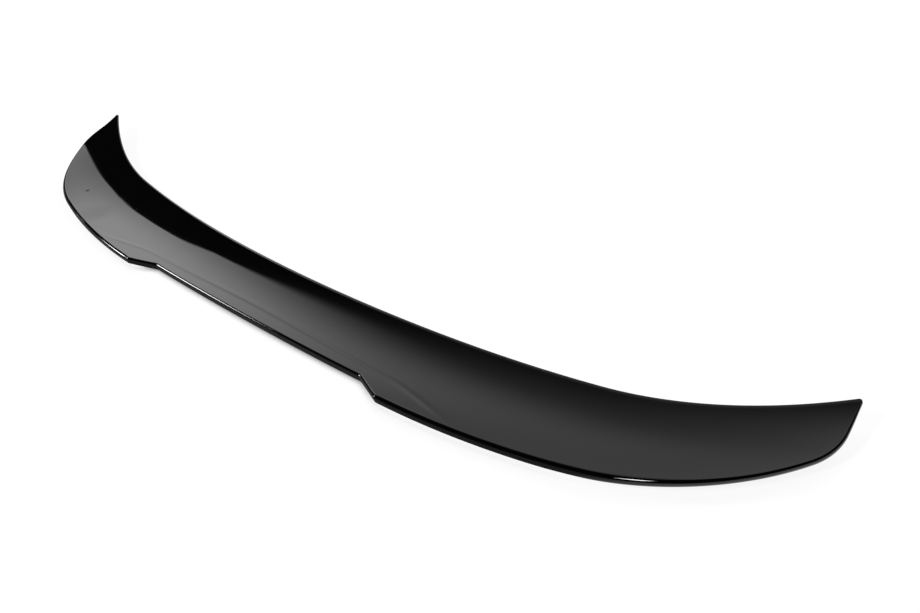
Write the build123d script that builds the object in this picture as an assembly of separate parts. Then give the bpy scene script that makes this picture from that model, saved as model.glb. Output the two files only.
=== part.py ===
from build123d import *
import math
import os

# Plan frame: X across the car, Y towards the front of the car, Z up. All sizes in mm, angles in degrees.

# Half of the overall width, at the widest point of each end.
half_span = 604.43

# Leading edge in plan: a long shallow arc that runs into a tighter arc towards each tip.
lead_mid_y = 1.8
lead_radius = 3057.0
lead_tip_run = 204.2
lead_tip_radius = 487.7

# Trailing edge in plan, from the recess outwards: shallow arc, wing arc, corner arc, straight side.
# The shallow arc is as long as the half span leaves room for.
recess_half_inner = 194.3
recess_slant_run = 42.1
recess_edge_y = -72.6
recess_depth = 14.2
recess_bow = 2.8
trail_heading = 1.81
trail_sweep = 11.22
wing_radius = 231.9
wing_sweep = 42.93
corner_radius = 42.5
corner_sweep = 45.86
recess_inner_round = 14.0
recess_outer_round = 9.0
tip_round = 2.7

# Top skin: height along the leading edge, slope there, and the hollow behind it.
crown_drop = 11.55
crown_lift = 33.55
lead_slope = 0.2059
lead_slope_gain = 0.0512
lead_slope_end = 0.1368
hollow_radius = 169.4

# Wall, turned-down rim and rounded edge.
wall = 3.0
rim_mid = 8.0
rim_end = 6.3
rim_taper_start_y = -80.0
rim_taper_end_y = 60.0
edge_round = 1.6

# Margin of the construction surfaces around the plan outline.
margin = 45.0
reach = 90.0


def joint_of_lead_arcs():
    x = half_span - lead_tip_run
    y = lead_mid_y + lead_radius - math.sqrt(lead_radius**2 - x**2)
    return x, y


def centre_of_tip_arc():
    # on the line from the joint to the centre of the shallow arc
    x, y = joint_of_lead_arcs()
    share = lead_tip_radius / lead_radius
    return x - share * x, y + share * (lead_mid_y + lead_radius - y)


def lead_y(x):
    # plan position of the leading edge at a distance x from the middle
    x = abs(x)
    joint_x, joint_y = joint_of_lead_arcs()
    if x < joint_x:
        return lead_mid_y + lead_radius - math.sqrt(lead_radius**2 - x**2)
    centre_x, centre_y = centre_of_tip_arc()
    return centre_y - math.sqrt(lead_tip_radius**2 - (x - centre_x) ** 2)


def skin_z(x, y):
    # crowned leading edge, falling slope behind it, then a parabola that lifts the trailing edge
    part = (x / half_span) ** 2
    back = lead_y(x) - y
    slope = lead_slope + lead_slope_gain * part + lead_slope_end * part**4
    edge = crown_lift * part**2 - crown_drop * part
    return edge - slope * back + back**2 / (2.0 * hollow_radius)


def rim_height(y):
    # full depth along the trailing edge, easing down to a shallow lip along the sides
    step = (y - rim_taper_start_y) / (rim_taper_end_y - rim_taper_start_y)
    step = min(max(step, 0.0), 1.0)
    ease = step * step * (3.0 - 2.0 * step)
    return rim_mid + (rim_end - rim_mid) * ease


def surface_below(drop, x_max, y_min, y_max):
    # smooth sheet that lies a given drop under the top skin
    columns = 45
    rows = 19
    points = []
    for i in range(columns):
        x = -x_max + 2.0 * x_max * i / (columns - 1)
        line = []
        for j in range(rows):
            y = y_min + (y_max - y_min) * j / (rows - 1)
            line.append(Vector(x, y, skin_z(x, y) - drop(y)))
        points.append(line)
    return Face.make_surface_from_array_of_points(points, tol=0.01, max_deg=4)


# Trailing edge of the right half, as a chain of tangent arcs.
recess_inner = Vector(recess_half_inner, recess_edge_y)
recess_outer = Vector(recess_half_inner + recess_slant_run, recess_edge_y - recess_depth)
heading = math.radians(trail_heading)
wing_heading = heading + math.radians(trail_sweep)
corner_heading = wing_heading + math.radians(wing_sweep)
wing_run = wing_radius * (math.sin(corner_heading) - math.sin(wing_heading))
corner_run = corner_radius * (1.0 - math.sin(corner_heading))
trail_run = half_span - recess_outer.X - wing_run - corner_run
trail_radius = trail_run / (math.sin(wing_heading) - math.sin(heading))
slant = Line(recess_inner, recess_outer)
trail = JernArc(recess_outer, (math.cos(heading), math.sin(heading)), trail_radius, trail_sweep)
wing = JernArc(trail @ 1, trail % 1, wing_radius, wing_sweep)
corner = JernArc(wing @ 1, wing % 1, corner_radius, corner_sweep)

# The tip is where the straight side meets the leading edge.
side_start = corner @ 1
side_dir = corner % 1
centre_x, centre_y = centre_of_tip_arc()
gap = Vector(side_start.X - centre_x, side_start.Y - centre_y)
along = gap.X * side_dir.X + gap.Y * side_dir.Y
side_length = -along - math.sqrt(along**2 - (gap.X**2 + gap.Y**2 - lead_tip_radius**2))
tip = side_start + side_dir * side_length

side = Line(side_start, tip)
lead_joint = Vector(*joint_of_lead_arcs())
half_way_x = 0.5 * (tip.X + lead_joint.X)
tip_lead = ThreePointArc(tip, (half_way_x, lead_y(half_way_x)), lead_joint)
mid_lead = ThreePointArc(lead_joint, (0.0, lead_mid_y), (-lead_joint.X, lead_joint.Y))
recess = ThreePointArc(
    (-recess_half_inner, recess_edge_y), (0.0, recess_edge_y - recess_bow), recess_inner
)

# Plan outline of the whole piece, with softened recess corners and tips.
rear_half = Curve() + [slant, trail, wing, corner, side]
rear_other = mirror(rear_half, about=Plane.YZ)
lead_other = mirror(tip_lead, about=Plane.YZ)
outline = make_face(rear_half + rear_other + recess + tip_lead + lead_other + mid_lead)


def corner_at(shape, x, y):
    # the two mirrored outline points that lie at a given place
    near = [v for v in shape.vertices() if abs(abs(v.X) - x) < 0.01 and abs(v.Y - y) < 0.01]
    return near


outline = fillet(corner_at(outline, recess_inner.X, recess_inner.Y), recess_inner_round)
outline = fillet(corner_at(outline, recess_outer.X, recess_outer.Y), recess_outer_round)
outline = fillet(corner_at(outline, tip.X, tip.Y), tip_round)

# Inner limit of the rim: the same trailing edge and sides, moved in by the wall, open to the front.
side_far = tip + side_dir * margin
cross = Line(side_far, (-side_far.X, side_far.Y))
side_out = Line(side_start, side_far)
room_half = Curve() + [slant, trail, wing, corner, side_out]
room = make_face(room_half + mirror(room_half, about=Plane.YZ) + recess + cross)
room = fillet(corner_at(room, recess_inner.X, recess_inner.Y), recess_inner_round)
room = fillet(corner_at(room, recess_outer.X, recess_outer.Y), recess_outer_round)
room = offset(room, amount=-wall)

# Blank between the top skin and the rim line, edge rounded, then hollowed from below.
box = outline.bounding_box()
x_max = box.max.X + margin
y_min = box.min.Y - margin
y_max = box.max.Y + margin
top = surface_below(lambda y: 0.0, x_max, y_min, y_max)
rim_line = surface_below(rim_height, x_max, y_min, y_max)
ceiling = surface_below(lambda y: wall, x_max, y_min, y_max)

blank = extrude(Plane.XY.offset(-reach) * outline, 2.0 * reach)
blank = blank - extrude(top, amount=2.0 * reach, dir=(0, 0, 1))
blank = blank - extrude(rim_line, amount=2.0 * reach, dir=(0, 0, -1))
top_face = blank.faces().filter_by(lambda f: f.normal_at().Z > 0.7).sort_by(SortBy.AREA)[-1]
blank = fillet(top_face.edges(), edge_round)

hollow = extrude(Plane.XY.offset(-reach) * room, 2.0 * reach)
hollow = hollow & extrude(ceiling, amount=2.0 * reach, dir=(0, 0, -1))
skin = blank - hollow

# Stand the piece on the ground with the origin under the middle of its box.
size = skin.bounding_box()
skin = Pos(-size.center().X, -size.center().Y, -size.min.Z) * skin

os.makedirs("parts", exist_ok=True)
export_step(skin, "parts/spoiler_skin.step")
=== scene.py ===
import bmesh
import bpy
import numpy as np
from mathutils import Matrix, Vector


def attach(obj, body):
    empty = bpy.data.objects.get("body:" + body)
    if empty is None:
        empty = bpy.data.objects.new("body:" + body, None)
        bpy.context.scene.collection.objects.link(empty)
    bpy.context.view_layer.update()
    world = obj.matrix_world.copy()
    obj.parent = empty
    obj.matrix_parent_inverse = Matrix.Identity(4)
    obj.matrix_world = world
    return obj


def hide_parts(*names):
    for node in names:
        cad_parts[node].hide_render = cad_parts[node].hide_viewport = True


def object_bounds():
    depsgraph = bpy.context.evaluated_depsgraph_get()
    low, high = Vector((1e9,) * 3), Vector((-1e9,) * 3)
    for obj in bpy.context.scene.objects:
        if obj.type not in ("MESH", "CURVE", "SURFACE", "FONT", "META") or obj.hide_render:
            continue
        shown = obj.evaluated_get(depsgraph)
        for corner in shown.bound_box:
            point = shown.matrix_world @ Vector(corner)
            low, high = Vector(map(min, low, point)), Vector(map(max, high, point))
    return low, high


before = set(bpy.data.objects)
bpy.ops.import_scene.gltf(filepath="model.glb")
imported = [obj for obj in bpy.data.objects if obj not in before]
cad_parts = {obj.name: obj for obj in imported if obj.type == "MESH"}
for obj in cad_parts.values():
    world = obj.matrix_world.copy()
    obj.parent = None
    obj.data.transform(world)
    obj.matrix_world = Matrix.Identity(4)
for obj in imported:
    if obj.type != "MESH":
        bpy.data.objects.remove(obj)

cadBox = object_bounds()
scene = bpy.context.scene
scene.view_settings.view_transform = "Standard"
mm = 0.001  # in metres
metre = 1000.0  # in mm, for pattern scales

# camera: where the photograph was taken from, in metres and unit directions of the part's frame
shot = {
    "place": (1.04990, -0.46228, 0.64635),
    "right": (0.63353, 0.72377, -0.27350),
    "up": (-0.27668, 0.54204, 0.79350),
    "lens": 50.0, "sensor": 36.0,  # mm
    "nearest": 0.02, "farthest": 200.0,  # clip distances
}


def makeCamera(s):
    # its three axes are right, up and what is square to both, pointing back
    data = bpy.data.cameras.new("photoCamera")
    data.lens, data.sensor_width, data.sensor_fit = s["lens"], s["sensor"], "HORIZONTAL"
    data.clip_start, data.clip_end = s["nearest"], s["farthest"]
    camera = bpy.data.objects.new("photoCamera", data)
    right = np.array(s["right"]) / np.linalg.norm(s["right"])
    up = np.array(s["up"]) - right * np.dot(right, s["up"])
    up = up / np.linalg.norm(up)
    turn = np.eye(4)
    turn[:3, 0], turn[:3, 1], turn[:3, 2] = right, up, np.cross(right, up)
    turn[:3, 3] = s["place"]
    camera.matrix_world = Matrix(turn.tolist())
    scene.collection.objects.link(camera)
    scene.camera = camera


makeCamera(shot)
print("camera set")

# plan of the skin, in mm: x across the car, y to its front, both edges given for the right half
plan = {
    "halfSpan": 604.43,
    "leadMidY": 1.8, "leadRadius": 3057.0, "leadTipRun": 204.2, "leadTipRadius": 487.7,
    "recessHalf": 194.3, "recessY": -72.6, "recessBow": 2.8, "slantRun": 42.1, "recessDepth": 14.2,
    "trailHeading": 1.81, "trailSweep": 11.22,
    "wingRadius": 231.9, "wingSweep": 42.93, "cornerRadius": 42.5, "cornerSweep": 45.86,
    "innerRound": 14.0, "outerRound": 9.0, "tipRound": 2.7,
}

# heights and edges of the skin, in mm, apart from slopes and shares
form = {
    "crownDrop": 11.55, "crownLift": 33.55,
    "slopeMid": 0.2059, "slopeGain": 0.0512, "slopeEnd": 0.1368, "hollowRadius": 169.4,
    "wall": 3.0, "rimMid": 8.0, "rimEnd": 6.3, "rimFrom": -80.0, "rimTo": 60.0,
    # crease between top and rim: radius at the recess, the wings and the ends
    "creaseRecess": 2.5, "creaseWing": 3.8, "creaseEnd": 1.6,
    "creaseSlant": 0.75, "creaseGrow": 24.0, "creaseFrom": -60.0, "creaseTo": 75.0,
    # lower edge of the rim: outer round, how far the ends curve in, inner round and fillet
    "bottomRound": 0.5, "tuckEnd": 2.2, "tuckFrom": 420.0, "tuckTo": 575.0,
    "innerShare": 0.45, "innerFillet": 1.2, "filletShare": 0.5,
    # leading edge and tips
    "noseRound": 1.0, "rollWide": 4.2, "rollRadius": 14.0, "tipBlend": 26.0,
    # faint line: its place in the middle, its sag, its bend to the trailing edge, its fading end
    "ridgeHeight": 0.34, "ridgeWidth": 2.6, "ridgeY": -56.0, "ridgeSag": 3.0, "ridgeSagRun": 200.0,
    "ridgeBend": 13.5, "ridgeBendFrom": 220.0, "ridgeBendRun": 120.0,
    "ridgeFadeFrom": 290.0, "ridgeFadeRun": 50.0,
    # from the plan's own frame to the part's frame
    "shiftY": -5.627, "shiftZ": 7.932,
}

# mesh: stations on each part of the trailing edge, rows over each part of the profile, merge distances
grid = {
    "stations": (64, 7, 12, 7, 58, 44, 14, 8, 9),
    "topRows": 104, "creaseRows": 12, "wallRows": 8, "roundRows": 4, "underRows": 20,
    "mergeGap": 2e-6, "thinGap": 1e-7,  # metres
}


def smooth(t):
    # eases from 0 to 1: three times the square less twice the cube
    t = np.clip(t, 0.0, 1.0)
    return t * t * (3.0 - 2.0 * t)


def chain(start, heading, lengths, bends, at):
    # a path of arcs: along each piece the heading grows by length times bend, and the place follows it
    straight = 1e-9  # bend that stands for none
    lengths, bends = np.array(lengths, float), np.array(bends, float)
    bends = np.where(np.abs(bends) < straight, straight, bends)
    turns = heading + np.concatenate([[0.0], np.cumsum(lengths * bends)])
    stepX = (np.sin(turns[1:]) - np.sin(turns[:-1])) / bends
    stepY = (np.cos(turns[:-1]) - np.cos(turns[1:])) / bends
    startX = start[0] + np.concatenate([[0.0], np.cumsum(stepX)])
    startY = start[1] + np.concatenate([[0.0], np.cumsum(stepY)])
    ends = np.concatenate([[0.0], np.cumsum(lengths)])
    piece = np.clip(np.searchsorted(ends, at, side="right") - 1, 0, len(lengths) - 1)
    far = turns[piece] + (at - ends[piece]) * bends[piece]
    x = startX[piece] + (np.sin(far) - np.sin(turns[piece])) / bends[piece]
    y = startY[piece] + (np.cos(turns[piece]) - np.cos(far)) / bends[piece]
    return np.stack([x, y], axis=1), far


def leadJoint(p):
    # where the two arcs of the leading edge meet, and the centre of the tip arc
    x = p["halfSpan"] - p["leadTipRun"]
    y = p["leadMidY"] + p["leadRadius"] - np.sqrt(p["leadRadius"] ** 2 - x**2)
    share = p["leadTipRadius"] / p["leadRadius"]
    return x, x - share * x, y + share * (p["leadMidY"] + p["leadRadius"] - y)


def leadY(x, p):
    # leading edge in plan: long arc in the middle, tighter arc towards the tip
    x = np.abs(x)
    jointX, centreX, centreY = leadJoint(p)
    inside = np.minimum(x, jointX)
    middle = p["leadMidY"] + p["leadRadius"] - np.sqrt(p["leadRadius"] ** 2 - inside**2)
    ends = centreY - np.sqrt(np.maximum(p["leadTipRadius"] ** 2 - (x - centreX) ** 2, 0.0))
    return np.where(x < jointX, middle, ends)


def skinHeight(at, p, f):
    # crowned leading edge, a slope that falls behind it, and a parabola that lifts the trailing edge
    part = (at[..., 0] / p["halfSpan"]) ** 2
    back = leadY(at[..., 0], p) - at[..., 1]
    slope = f["slopeMid"] + f["slopeGain"] * part + f["slopeEnd"] * part**4
    edge = f["crownLift"] * part**2 - f["crownDrop"] * part
    return edge - slope * back + back**2 / (2.0 * f["hollowRadius"])


def noseRoll(at, p, f):
    # the leading edge rolls down a little: a parabola over the last few mm in front
    short = np.maximum(f["rollWide"] - (leadY(at[..., 0], p) - at[..., 1]), 0.0)
    return short**2 / (2.0 * f["rollRadius"])


def ridge(at, f):
    # faint moulded line over the middle of the top: a low swell, bell-shaped across a curve that
    # bends to the trailing edge
    x = np.abs(at[..., 0])
    sag = f["ridgeSag"] * smooth(x / f["ridgeSagRun"])
    bend = f["ridgeBend"] * smooth((x - f["ridgeBendFrom"]) / f["ridgeBendRun"])
    line = f["ridgeY"] - sag - bend
    fade = 1.0 - smooth((x - f["ridgeFadeFrom"]) / f["ridgeFadeRun"])
    return f["ridgeHeight"] * fade * np.exp(-(((at[..., 1] - line) / f["ridgeWidth"]) ** 2))


def halfEdges(p, counts):
    # both edges of the right half, from the middle to the tip: chains of arcs, as places and outward
    # directions, with the way that is left to the tip
    start = np.radians(p["trailHeading"])
    wing = start + np.radians(p["trailSweep"])
    corner = wing + np.radians(p["wingSweep"])
    side = corner + np.radians(p["cornerSweep"])
    outerX = p["recessHalf"] + p["slantRun"]
    wingRun = p["wingRadius"] * (np.sin(corner) - np.sin(wing))
    cornerRun = p["cornerRadius"] * (1.0 - np.sin(corner))
    trailRadius = (p["halfSpan"] - outerX - wingRun - cornerRun) / (np.sin(wing) - np.sin(start))
    bowRadius = (p["recessHalf"] ** 2 + p["recessBow"] ** 2) / (2.0 * p["recessBow"])
    bowTurn = np.arcsin(p["recessHalf"] / bowRadius)
    slant = np.arctan2(-p["recessDepth"], p["slantRun"])
    slantLong = np.hypot(p["slantRun"], p["recessDepth"])
    # each round takes its cut off the arc beside it, which turns that arc's heading a little
    innerCut = p["innerRound"] * np.tan((bowTurn - slant) / 2.0)
    outerCut = p["outerRound"] * np.tan((start - slant) / 2.0)
    innerTurn = bowTurn - innerCut / bowRadius - slant
    outerTurn = start + outerCut / trailRadius - slant

    # the straight side ends where it meets the tip arc of the leading edge
    jointX, centreX, centreY = leadJoint(p)
    sideX = outerX + (np.sin(wing) - np.sin(start)) * trailRadius + wingRun
    sideX += p["cornerRadius"] * (np.sin(side) - np.sin(corner))
    sideY = p["recessY"] - p["recessDepth"] + (np.cos(start) - np.cos(wing)) * trailRadius
    sideY += p["wingRadius"] * (np.cos(wing) - np.cos(corner))
    sideY += p["cornerRadius"] * (np.cos(corner) - np.cos(side))
    offX, offY = sideX - centreX, sideY - centreY
    along = offX * np.cos(side) + offY * np.sin(side)
    sideLong = -along - np.sqrt(along**2 - (offX**2 + offY**2 - p["leadTipRadius"] ** 2))
    tipX = sideX + sideLong * np.cos(side)
    tipHeading = np.arcsin((tipX - centreX) / p["leadTipRadius"])
    tipCut = p["tipRound"] * np.tan((np.pi + tipHeading - side) / 2.0)
    tipHeading = tipHeading - tipCut / p["leadTipRadius"]
    tipHalf = p["tipRound"] * (np.pi + tipHeading - side) / 2.0

    # recess, inner round, slant, outer round, trailing edge, wing, corner, side, half of the tip round
    lengths = [
        bowRadius * bowTurn - innerCut, p["innerRound"] * innerTurn, slantLong - innerCut - outerCut,
        p["outerRound"] * outerTurn, trailRadius * (wing - start) - outerCut,
        p["wingRadius"] * (corner - wing), p["cornerRadius"] * (side - corner),
        sideLong - tipCut, tipHalf,
    ]
    bends = [
        1.0 / bowRadius, -1.0 / p["innerRound"], 0.0,
        1.0 / p["outerRound"], 1.0 / trailRadius,
        1.0 / p["wingRadius"], 1.0 / p["cornerRadius"],
        0.0, 1.0 / p["tipRound"],
    ]
    ends = np.concatenate([[0.0], np.cumsum(lengths)])
    pieces = zip(ends[:-1], ends[1:], counts)
    at = np.concatenate([np.linspace(a, b, n, endpoint=False) for a, b, n in pieces])
    at = np.append(at, ends[-1])
    trail, trailWay = chain((0.0, p["recessY"] - p["recessBow"]), 0.0, lengths, bends, at)

    jointTurn = np.arcsin(jointX / p["leadRadius"])
    leadTip = p["leadTipRadius"] * (tipHeading - jointTurn)
    leadLengths = [p["leadRadius"] * jointTurn, leadTip, tipHalf]
    leadBends = [1.0 / p["leadRadius"], 1.0 / p["leadTipRadius"], -1.0 / p["tipRound"]]
    share = at / at[-1]
    leadAt = share * sum(leadLengths)
    lead, leadWay = chain((0.0, p["leadMidY"]), 0.0, leadLengths, leadBends, leadAt)
    tip = 0.5 * (trail[-1] + lead[-1])
    trail[-1], lead[-1] = tip, tip
    trailOut = np.stack([np.sin(trailWay), -np.cos(trailWay)], axis=1)
    leadOut = np.stack([-np.sin(leadWay), np.cos(leadWay)], axis=1)
    leadOut[-1] = trailOut[-1]
    return trail, trailOut, lead, leadOut, at[-1] - at


def mirrored(a, vector):
    # left half from the right one, joined in the middle
    other = a[::-1].copy()
    if vector:
        other[:, 0] *= -1.0
    return np.concatenate([other[:-1], a])


def edgeRows(place, out, rim, top, tuck, p, f, g):
    # one edge from the top skin round to the underside: crease arc, outer wall that may curve in,
    # outer and inner bottom round, inner wall, fillet; all as distance along "out" and height
    def spot(n):
        return place[:, None, :] + n[:, :, None] * out[:, None, :]

    def high(n):
        return skinHeight(spot(n), p, f)

    def crest(n):
        return high(n) - noseRoll(spot(n), p, f)

    # the crease arc touches the leaning top and the upright wall; a few passes find where
    passes, step = 4, 0.2
    col = top[:, None]
    back = col.copy()
    for _ in range(passes):
        rise = (crest(-back + step) - crest(-back - step)) / (2.0 * step)
        lean = np.arctan(rise)
        drop = col / np.tan((np.pi / 2.0 - lean) / 2.0)
        back = drop * np.cos(lean)
    peak = crest(-back) + rise * back
    angle = (np.pi / 2.0 + lean) * np.linspace(1.0, 0.0, g["creaseRows"])[None, :]
    parts = [(-col + col * np.cos(angle), peak - drop + col * np.sin(angle))]

    extra = np.maximum(rim - f["wall"], 0.0)[:, None]
    deep, tuck, low = rim[:, None], tuck[:, None], f["bottomRound"]
    inner = np.minimum(low, f["innerShare"] * extra)
    fillet = np.minimum(f["innerFillet"], f["filletShare"] * extra)
    # the wall leaves the crease upright and goes in with the square of the way down, then the bottom
    # round takes over
    roundLoss, leastWall = 0.4 * low, 0.5
    wallTall = np.maximum(peak - drop - high(-tuck) + deep - roundLoss, leastWall)
    under = np.arctan(2.0 * tuck / wallTall)
    wallEnd = high(-tuck) - deep + low * (1.0 - np.sin(under))
    t = np.linspace(0.0, 1.0, g["wallRows"] + 1)[None, 1:-1]
    parts.append((-tuck * t**2, (peak - drop) * (1.0 - t) + wallEnd * t))
    turn = under + (np.pi / 2.0 - under) * np.linspace(0.0, 1.0, g["roundRows"] + 1)[None, :]
    n = -tuck - low * (np.cos(under) - np.cos(turn))
    parts.append((n, high(n) - deep + low * (1.0 - np.sin(turn))))
    quarter = np.linspace(0.0, np.pi / 2.0, g["roundRows"] + 1)[None, :]
    n = -(f["wall"] - inner) - inner * np.sin(quarter)
    parts.append((n, high(n) - deep + inner * (1.0 - np.cos(quarter))))
    n = -f["wall"] - fillet * (1.0 - np.cos(quarter))
    parts.append((n, high(n) - f["wall"] - fillet * (1.0 - np.sin(quarter))))
    off = np.concatenate([a for a, b in parts], axis=1)
    z = np.concatenate([b for a, b in parts], axis=1)
    return np.concatenate([spot(off), z[:, :, None]], axis=2)


def makeSkin(p, f, g):
    # a closed profile carried from the left tip to the right one: top skin, trailing edge, underside,
    # leading edge
    trail, trailOut, lead, leadOut, toTip = halfEdges(p, g["stations"])
    trail, trailOut = mirrored(trail, True), mirrored(trailOut, True)
    lead, leadOut = mirrored(lead, True), mirrored(leadOut, True)
    toTip = mirrored(toTip, False)
    wide, rearward = np.abs(trail[:, 0]), trail[:, 1]
    end = 1.0 - smooth(toTip / f["tipBlend"])
    ease = smooth((rearward - f["rimFrom"]) / (f["rimTo"] - f["rimFrom"]))
    rim = f["rimMid"] + (f["rimEnd"] - f["rimMid"]) * ease
    rim = rim + (f["wall"] - rim) * end
    # the crease is sharp round the recess, fuller along the wings and sharp again at the ends
    grow = smooth((wide - p["recessHalf"] - f["creaseSlant"] * p["slantRun"]) / f["creaseGrow"])
    crease = f["creaseRecess"] + (f["creaseWing"] - f["creaseRecess"]) * grow
    ease = smooth((rearward - f["creaseFrom"]) / (f["creaseTo"] - f["creaseFrom"]))
    crease = crease + (f["creaseEnd"] - crease) * ease
    crease = crease + (f["noseRound"] - crease) * end
    ease = smooth((wide - f["tuckFrom"]) / (f["tuckTo"] - f["tuckFrom"]))
    tuck = f["tuckEnd"] * (1.0 - end) * ease
    flat = np.ones(len(lead))
    rear = edgeRows(trail, trailOut, rim, crease, tuck, p, f, g)
    front = edgeRows(lead, leadOut, f["wall"] * flat, f["noseRound"] * flat, 0.0 * flat, p, f, g)
    front = front[:, ::-1]

    t = np.linspace(0.0, 1.0, g["topRows"] + 2)[None, 1:-1, None]
    top = front[:, -1:, :2] * (1.0 - t) + rear[:, :1, :2] * t
    height = skinHeight(top, p, f) - noseRoll(top, p, f) + ridge(top, f)
    top = np.concatenate([top, height[:, :, None]], axis=2)
    t = np.linspace(0.0, 1.0, g["underRows"] + 2)[None, 1:-1, None]
    under = rear[:, -1:, :2] * (1.0 - t) + front[:, :1, :2] * t
    under = np.concatenate([under, (skinHeight(under, p, f) - f["wall"])[:, :, None]], axis=2)
    loop = np.concatenate([top, rear, under, front], axis=1) * mm

    # into the part's frame, and fitted to the CAD box in width and height
    loop[:, :, 1] += f["shiftY"] * mm
    loop[:, :, 2] += f["shiftZ"] * mm
    x, z = loop[:, :, 0], loop[:, :, 2]
    loop[:, :, 0] *= min(1.0, cadBox[1][0] / x.max(), cadBox[0][0] / x.min())
    loop[:, :, 2] = np.interp(z, (z.min(), z.max()), (cadBox[0][2], cadBox[1][2]))

    # a quad between each two rows of each two stations
    count, rows = loop.shape[:2]
    a = np.arange(count - 1)[:, None] * rows + np.arange(rows)[None, :]
    b = np.arange(count - 1)[:, None] * rows + (np.arange(rows)[None, :] + 1) % rows
    faces = np.stack([a, b, b + rows, a + rows], axis=2).reshape(-1, 4)
    mesh = bpy.data.meshes.new("spoilerSkin")
    mesh.from_pydata(loop.reshape(-1, 3).tolist(), [], faces.tolist())
    mesh.update()
    return mesh


def closeMesh(mesh, g):
    # the two ends shrink to a line, so their doubled points are merged
    work = bmesh.new()
    work.from_mesh(mesh)
    bmesh.ops.remove_doubles(work, verts=work.verts, dist=g["mergeGap"])
    bmesh.ops.dissolve_degenerate(work, edges=work.edges, dist=g["thinGap"])
    bmesh.ops.recalc_face_normals(work, faces=work.faces)
    work.to_mesh(mesh)
    work.free()
    mesh.polygons.foreach_set("use_smooth", np.ones(len(mesh.polygons), bool))
    mesh.update()


skinMesh = makeSkin(plan, form, grid)
closeMesh(skinMesh, grid)
skin = bpy.data.objects.new("spoilerSkin", skinMesh)
scene.collection.objects.link(skin)
print("skin made", len(skinMesh.vertices), "points", len(skinMesh.polygons), "faces")


def toLinear(code):
    # sRGB hex to linear colour
    c = np.array([int(code[i:i + 2], 16) for i in (1, 3, 5)]) / 255.0
    c = np.where(c <= 0.04045, c / 12.92, ((c + 0.055) / 1.055) ** 2.4)
    return (*c.tolist(), 1.0)


def addNode(tree, kind, feeds=None, **settings):
    # a node with its settings; each feed is a value, or the node or socket that drives that input
    node = tree.nodes.new(kind)
    for key, value in settings.items():
        setattr(node, key, value)
    for key, value in (feeds or {}).items():
        source = value.outputs[0] if isinstance(value, bpy.types.Node) else value
        if isinstance(source, bpy.types.NodeSocket):
            tree.links.new(source, node.inputs[key])
        else:
            node.inputs[key].default_value = source
    return node


def newMaterial(name):
    # an empty material and its node tree
    material = bpy.data.materials.new(name)
    material.use_nodes = True
    material.node_tree.nodes.clear()
    return material, material.node_tree


# finish of the skin: sizes, heights and places in mm, the rest as shader values
glossBlack = {
    "dark": "#040405", "pale": "#070708", "mottleSize": 30.0, "mottleDetail": 3.0, "bending": 1.5,
    "clean": 0.02, "hazy": 0.05, "hazeSize": 55.0, "hazeDetail": 4.0, "hazeFrom": 0.4, "hazeTo": 0.75,
    "swellSize": 46.0, "swellHeight": 0.035, "swellDetail": 1.6,
    "peelSize": 7.0, "peelHeight": 0.0018, "peelDetail": 1.0,
    "markCore": 0.2,
    "marks": (
        {"at": (-466.1, -31.0, 9.1), "size": 5.0, "rough": 0.5},
        {"at": (-395.5, -57.5, 9.2), "size": 46.0, "rough": 0.22},
    ),
}


def makeGlossBlack(s):
    # ABS moulded in a polished tool: the eye gets a near-black mirror whose reflections swim a little
    # inputs of Map Range: 0 the value, 1 and 2 its limits, 3 and 4 what they become
    # inputs of Mix for colours: 0 the share, 6 and 7 the colours; for numbers: 2 and 3
    material, tree = newMaterial("glossBlackMouldedAbs")
    where = addNode(tree, "ShaderNodeTexCoord").outputs["Object"]
    mottle = addNode(tree, "ShaderNodeTexNoise", {
        "Vector": where, "Scale": metre / s["mottleSize"], "Detail": s["mottleDetail"]})
    colour = addNode(tree, "ShaderNodeMix", {
        0: mottle, 6: toLinear(s["dark"]), 7: toLinear(s["pale"])}, data_type="RGBA").outputs[2]

    # handling haze: slightly duller clouds, with a small dull speck and a smear on the left wing
    haze = addNode(tree, "ShaderNodeTexNoise", {
        "Vector": where, "Scale": metre / s["hazeSize"], "Detail": s["hazeDetail"]})
    rough = addNode(tree, "ShaderNodeMapRange", {
        0: haze, 1: s["hazeFrom"], 2: s["hazeTo"], 3: s["clean"], 4: s["hazy"]})
    for mark in s["marks"]:
        spot = tuple(v * mm for v in mark["at"])
        gap = addNode(tree, "ShaderNodeVectorMath", {0: where, 1: spot}, operation="DISTANCE")
        dull = addNode(tree, "ShaderNodeMapRange", {
            0: gap.outputs["Value"], 1: s["markCore"] * mark["size"] * mm, 2: mark["size"] * mm,
            3: mark["rough"], 4: 0.0}, interpolation_type="SMOOTHSTEP")
        rough = addNode(tree, "ShaderNodeMath", {0: rough, 1: dull}, operation="MAXIMUM")

    # moulding swell and a finer orange peel, as heights
    swell = addNode(tree, "ShaderNodeTexNoise", {
        "Vector": where, "Scale": metre / s["swellSize"], "Detail": s["swellDetail"]})
    peel = addNode(tree, "ShaderNodeTexNoise", {
        "Vector": where, "Scale": metre / s["peelSize"], "Detail": s["peelDetail"]})
    bend = addNode(tree, "ShaderNodeBump", {
        "Height": swell, "Strength": 1.0, "Distance": s["swellHeight"] * mm})
    bend = addNode(tree, "ShaderNodeBump", {
        "Height": peel, "Strength": 1.0, "Distance": s["peelHeight"] * mm, "Normal": bend})
    shader = addNode(tree, "ShaderNodeBsdfPrincipled", {
        "Base Color": colour, "Roughness": rough, "Normal": bend, "IOR": s["bending"]})
    addNode(tree, "ShaderNodeOutputMaterial", {"Surface": shader})
    return material


skin.data.materials.append(makeGlossBlack(glossBlack))
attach(skin, "root")
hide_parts("spoiler_skin")
print("skin finished")

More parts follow.
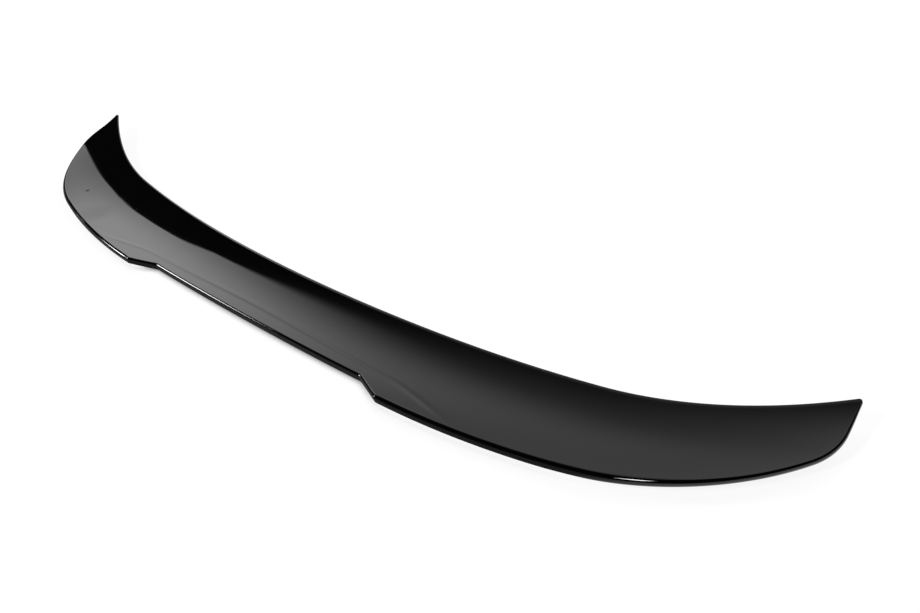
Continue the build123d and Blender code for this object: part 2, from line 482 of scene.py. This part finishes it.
# table: sizes in mm, its half width and the places across it in metres, levels with white at 1
table = {
    "half": 20.0, "colour": "#7c7c7c", "glow": 0.9,
    # painted light: across x, the share of the added white that mirrors see rises from its low to its
    # high value, a painted pool of light seen only in reflections
    "mirrored": (0.055, 1.11), "paintedLightFrom": 0.445, "paintedLightTo": 0.53,
    # painted shadow: close to the part the added white is dimmed, down to its lowest share
    "shadeReach": 8.0, "shadeFrom": 0.42, "shadeTo": 0.82, "shadeLow": 0.3, "shadeRays": 8,
}


def makeFloor(s):
    # grey paper that takes the part's shadow, with white added for the eye and clear parts, dimmed near
    # the part as a painted shadow; mirrors get a small share of that white, and plain white from the
    # right end of the part outwards, a painted pool of light seen only in reflections
    mesh = bpy.data.meshes.new("whiteTable")
    h = s["half"]
    mesh.from_pydata([(-h, -h, 0.0), (h, -h, 0.0), (h, h, 0.0), (-h, h, 0.0)], [], [(0, 1, 2, 3)])
    floor = bpy.data.objects.new("whiteTable", mesh)
    scene.collection.objects.link(floor)
    material, tree = newMaterial("whiteTablePaper")
    sums, span = "ShaderNodeMath", "ShaderNodeMapRange"
    paper = addNode(tree, "ShaderNodeBsdfDiffuse", {"Color": toLinear(s["colour"])})
    path = addNode(tree, "ShaderNodeLightPath").outputs
    where = addNode(tree, "ShaderNodeTexCoord").outputs["Object"]
    across = addNode(tree, "ShaderNodeSeparateXYZ", {0: where})
    least, most = s["mirrored"]
    # painted reflection: the share of white that mirrors see grows across x towards the right end, a
    # pool of painted light on the paper
    share = addNode(tree, span, {0: across, 1: s["paintedLightFrom"], 2: s["paintedLightTo"], 3: least, 4: most})
    mirror = addNode(tree, sums, {0: path["Is Glossy Ray"], 1: share}, operation="MULTIPLY")
    seen = addNode(tree, sums, {0: path["Is Camera Ray"], 1: mirror}, operation="MAXIMUM")
    seen = addNode(tree, sums, {0: seen, 1: path["Is Transmission Ray"]}, operation="MAXIMUM")

    # painted shadow: the added white is dimmed close to the part, where little of the room is open
    room = addNode(tree, "ShaderNodeAmbientOcclusion", {"Distance": s["shadeReach"] * mm},
                   samples=s["shadeRays"]).outputs["AO"]
    paintedShadow = addNode(tree, span, {0: room, 1: s["shadeFrom"], 2: s["shadeTo"], 3: s["shadeLow"], 4: 1.0})
    glow = addNode(tree, sums, {0: seen, 1: s["glow"]}, operation="MULTIPLY")
    glow = addNode(tree, sums, {0: glow, 1: paintedShadow}, operation="MULTIPLY")
    light = addNode(tree, "ShaderNodeEmission", {"Strength": glow})
    both = addNode(tree, "ShaderNodeAddShader", {0: paper, 1: light})
    addNode(tree, "ShaderNodeOutputMaterial", {"Surface": both})
    mesh.materials.append(material)


makeFloor(table)
print("table made")

# studio round the part: degrees round are counted from "turn", which goes from +X towards +Y; degrees up
# from the horizon; levels with white at 1
studio = {
    "turn": 150.0, "zenith": 90.0,
    "edge": 11.9, "edgeLean": 1.3, "leanFrom": 25.3, "leanTo": 27.5, "edgeBack": 8.56,
    "softLow": 0.3, "softHigh": 3.475, "softFrom": 27.0, "softTo": 38.0,
    "panelFrom": -13.6, "panelTo": 8.5, "panelFull": 17.5, "panelTop": 42.5,
    "panelFoot": 8.0, "footBlur": 2.0, "panelLevel": 1.72,
    "wallGain": 0.000676, "wallTop": 0.976,
    "wallEdge": 25.4, "wallLean": 30.84, "wallDraw": 19.09, "wallKnee": 46.0,
    "openFrom": -45.0, "openTo": -22.0,
    "bandLevel": 0.24, "bandFrom": 3.0, "bandTo": 20.0, "roomLevel": 0.005,
    "lamps": (
        {"round": (-97.0, -36.0), "up": (16.0, 57.0), "blur": 9.0, "level": 1.92},
        {"round": (44.5, 54.0), "up": (16.5, 29.5), "blur": 1.2, "level": 22.4},
        {"round": (104.5, 118.0), "up": (42.5, 54.0), "blur": 1.2, "level": 30.4},
    ),
}


def makeStudio(s):
    # a bright panel with a sharp side, a pale wall that fades towards it, lamps, a low band round the
    # horizon and a dark room; the eye and clear parts see plain white instead
    world = bpy.data.worlds.new("studio")
    world.use_nodes = True
    tree = world.node_tree
    tree.nodes.clear()
    sums, span = "ShaderNodeMath", "ShaderNodeMapRange"
    ease = {"interpolation_type": "SMOOTHSTEP"}
    way = addNode(tree, "ShaderNodeTexCoord").outputs["Generated"]
    turned = addNode(tree, "ShaderNodeVectorRotate", {
        "Vector": way, "Angle": np.radians(-s["turn"])}, rotation_type="Z_AXIS")
    split = addNode(tree, "ShaderNodeSeparateXYZ", {0: turned}).outputs
    around = addNode(tree, sums, {0: split[1], 1: split[0]}, operation="ARCTAN2")
    around = addNode(tree, sums, {0: around}, operation="DEGREES")
    up = addNode(tree, sums, {0: split[2]}, operation="ARCSINE")
    up = addNode(tree, sums, {0: up}, operation="DEGREES")

    # side of the panel: leans a little as it rises, and is softer higher up
    lean = addNode(tree, span, {
        0: up, 1: s["leanFrom"], 2: s["leanTo"], 3: s["edge"], 4: s["edge"] + s["edgeLean"]})
    draw = addNode(tree, span, {0: up, 1: s["leanTo"], 2: s["zenith"], 3: 0.0, 4: s["edgeBack"]})
    edge = addNode(tree, sums, {0: lean, 1: draw}, operation="SUBTRACT")
    soft = addNode(tree, span, {
        0: up, 1: s["softFrom"], 2: s["softTo"], 3: s["softLow"], 4: s["softHigh"]}, **ease)
    near = addNode(tree, sums, {0: edge, 1: soft}, operation="SUBTRACT")
    far = addNode(tree, sums, {0: edge, 1: soft}, operation="ADD")
    side = addNode(tree, span, {0: around, 1: near, 2: far, 3: 1.0, 4: 0.0}, **ease)
    rise = addNode(tree, span, {
        0: around, 1: s["panelFrom"], 2: s["panelTo"], 3: 0.0, 4: s["panelLevel"]}, **ease)
    fall = addNode(tree, span, {0: up, 1: s["panelFull"], 2: s["panelTop"], 3: 1.0, 4: 0.0}, **ease)
    foot = addNode(tree, span, {
        0: up, 1: s["panelFoot"] - s["footBlur"], 2: s["panelFoot"] + s["footBlur"]}, **ease)
    panel = addNode(tree, sums, {0: rise, 1: fall}, operation="MULTIPLY")
    panel = addNode(tree, sums, {0: panel, 1: foot}, operation="MULTIPLY")
    panel = addNode(tree, sums, {0: panel, 1: side}, operation="MULTIPLY")

    # wall: grows with the square of the distance from its dark end, which leans with height
    high = addNode(tree, span, {
        0: up, 1: s["wallKnee"], 2: s["zenith"], 3: s["wallEdge"], 4: s["wallEdge"] + s["wallLean"]})
    low = addNode(tree, span, {0: up, 1: 0.0, 2: s["wallKnee"], 3: s["wallDraw"], 4: 0.0})
    reach = addNode(tree, sums, {0: high, 1: low}, operation="SUBTRACT")
    reach = addNode(tree, sums, {0: reach, 1: around}, operation="SUBTRACT")
    reach = addNode(tree, sums, {0: reach, 1: 0.0}, operation="MAXIMUM")
    wall = addNode(tree, sums, {0: reach, 1: 2.0}, operation="POWER")
    wall = addNode(tree, sums, {0: wall, 1: s["wallGain"]}, operation="MULTIPLY")
    wall = addNode(tree, sums, {0: wall, 1: s["wallTop"]}, operation="MINIMUM")
    ahead = addNode(tree, span, {0: around, 1: s["openFrom"], 2: s["openTo"]}, **ease)
    wall = addNode(tree, sums, {0: wall, 1: ahead}, operation="MULTIPLY")
    level = addNode(tree, sums, {0: wall, 1: panel}, operation="ADD")
    band = addNode(tree, span, {
        0: up, 1: s["bandFrom"], 2: s["bandTo"], 3: s["bandLevel"], 4: s["roomLevel"]}, **ease)
    level = addNode(tree, sums, {0: level, 1: band}, operation="MAXIMUM")

    # lamps, each a soft-edged patch: a large one in front of the part, small ones to its left and behind
    for lamp in s["lamps"]:
        patch, blur = lamp["level"], lamp["blur"]
        for place, (start, stop) in ((around, lamp["round"]), (up, lamp["up"])):
            inward = addNode(tree, span, {0: place, 1: start - blur, 2: start + blur}, **ease)
            outward = addNode(tree, span, {
                0: place, 1: stop - blur, 2: stop + blur, 3: 1.0, 4: 0.0}, **ease)
            patch = addNode(tree, sums, {0: patch, 1: inward}, operation="MULTIPLY")
            patch = addNode(tree, sums, {0: patch, 1: outward}, operation="MULTIPLY")
        level = addNode(tree, sums, {0: level, 1: patch}, operation="MAXIMUM")

    path = addNode(tree, "ShaderNodeLightPath").outputs
    seen = addNode(tree, sums, {
        0: path["Is Camera Ray"], 1: path["Is Transmission Ray"]}, operation="MAXIMUM")
    strength = addNode(tree, "ShaderNodeMix", {0: seen, 2: level, 3: 1.0}, data_type="FLOAT")
    sky = addNode(tree, "ShaderNodeBackground", {"Color": (1.0, 1.0, 1.0, 1.0), "Strength": strength})
    addNode(tree, "ShaderNodeOutputWorld", {"Surface": sky})
    scene.world = world


makeStudio(studio)
print("studio made")
